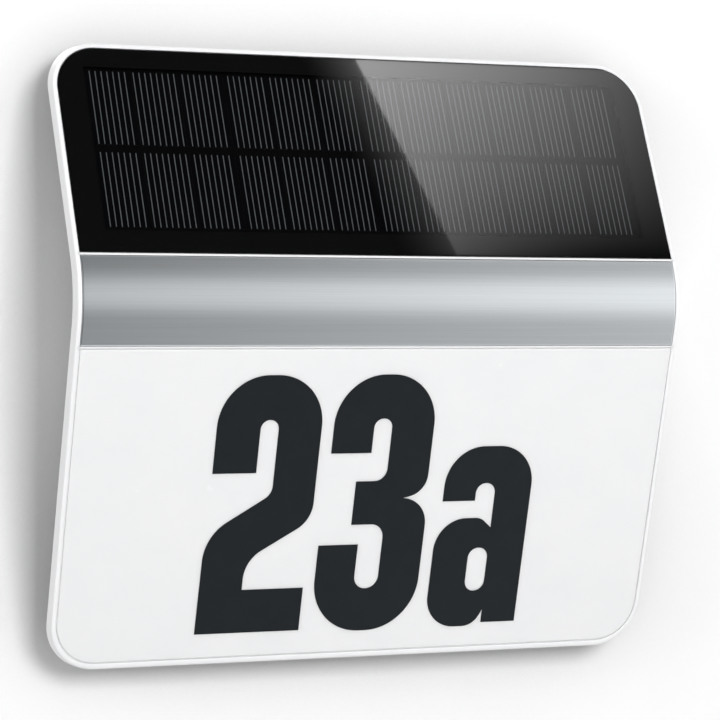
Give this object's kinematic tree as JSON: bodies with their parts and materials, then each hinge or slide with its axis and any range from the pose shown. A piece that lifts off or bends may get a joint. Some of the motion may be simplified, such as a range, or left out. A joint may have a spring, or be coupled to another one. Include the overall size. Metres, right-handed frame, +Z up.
{
  "type": "illuminated house number sign",
  "caption": "Wall-hung solar house number sign, bent across the middle: a dark solar pane above, a brushed trim band at the bend and a lit opal panel with plain numerals below",
  "frame": {"origin": "the middle of the wall bracket's back face, on the wall", "axes": "+X along the wall to the right seen from the front, +Y into the wall, +Z up"},
  "size_m": [0.255, 0.057, 0.242],
  "materials": {
    "bracket_plastic": "moulded, fine grain",
    "frame_white": "moulded, satin gloss",
    "housing_white": "moulded, fine grain",
    "seal_rubber": "soft extruded cord",
    "pane_glass": "flat polished glass",
    "foam_tape": "thin foam tape",
    "cell_silicon": "dark silicon with fine silver fingers",
    "backing_board": "laminated board",
    "trim_aluminium": "brushed along its length",
    "opal_acrylic": "opal, satin",
    "numeral_film": "cut self-adhesive film",
    "clear_acrylic": "clear, dotted back",
    "reflector_white": "white sheet",
    "circuit_board": "solder mask",
    "led_body": "white body, yellow phosphor",
    "cell_wrap": "plain shrink wrap",
    "contact_steel": "nickel plated",
    "chip_black": "moulded package",
    "ferrite": "fired ferrite",
    "capacitor_can": "drawn can",
    "plug_plastic": "moulded",
    "lead_cover": "insulation",
    "screw_steel": "zinc plated",
    "switch_black": "moulded",
    "knob_plastic": "moulded, ribbed"
  },
  "bodies": {
    "bracket": {"wall_bracket": "bracket_plastic"},
    "sign": {"front_frame": "frame_white", "rear_housing": "housing_white", "housing_seal": "seal_rubber", "solar_glass": "pane_glass", "pane_tape": "foam_tape", "solar_cells": "cell_silicon", "solar_backing": "backing_board", "aluminium_trim": "trim_aluminium", "number_panel": "opal_acrylic", "panel_tape": "foam_tape", "numeral_2": "numeral_film", "numeral_3": "numeral_film", "letter_a": "numeral_film", "light_guide": "clear_acrylic", "reflector_sheet": "reflector_white", "led_board": "circuit_board", "leds": "led_body", "battery_seal": "seal_rubber", "battery_cell_top": "cell_wrap", "battery_cell_middle": "cell_wrap", "battery_cell_bottom": "cell_wrap", "battery_contacts_left": "contact_steel", "battery_contacts_right": "contact_steel", "control_board": "circuit_board", "control_chip": "chip_black", "inductor": "ferrite", "capacitors": "capacitor_can", "board_plugs": "plug_plastic", "solar_leads": "lead_cover", "led_leads": "lead_cover", "battery_leads": "lead_cover", "case_screws": "screw_steel", "board_screws": "screw_steel", "mode_switch": "switch_black"},
    "battery_door": {"battery_cover": "housing_white"},
    "knob": {"switch_knob": "knob_plastic"}
  },
  "joints": [
    {"name": "lift_off", "type": "slide", "parent": "bracket", "child": "sign", "axis": [0, 0, 1], "range_m": [0, 0.018]},
    {"name": "battery_door_slide", "type": "slide", "parent": "sign", "child": "battery_door", "axis": [0, 0, -1], "range_m": [0, 0.06]},
    {"name": "mode_switch_slide", "type": "slide", "parent": "sign", "child": "knob", "axis": [1, 0, 0], "range_m": [0, 0.004]}
  ]
}
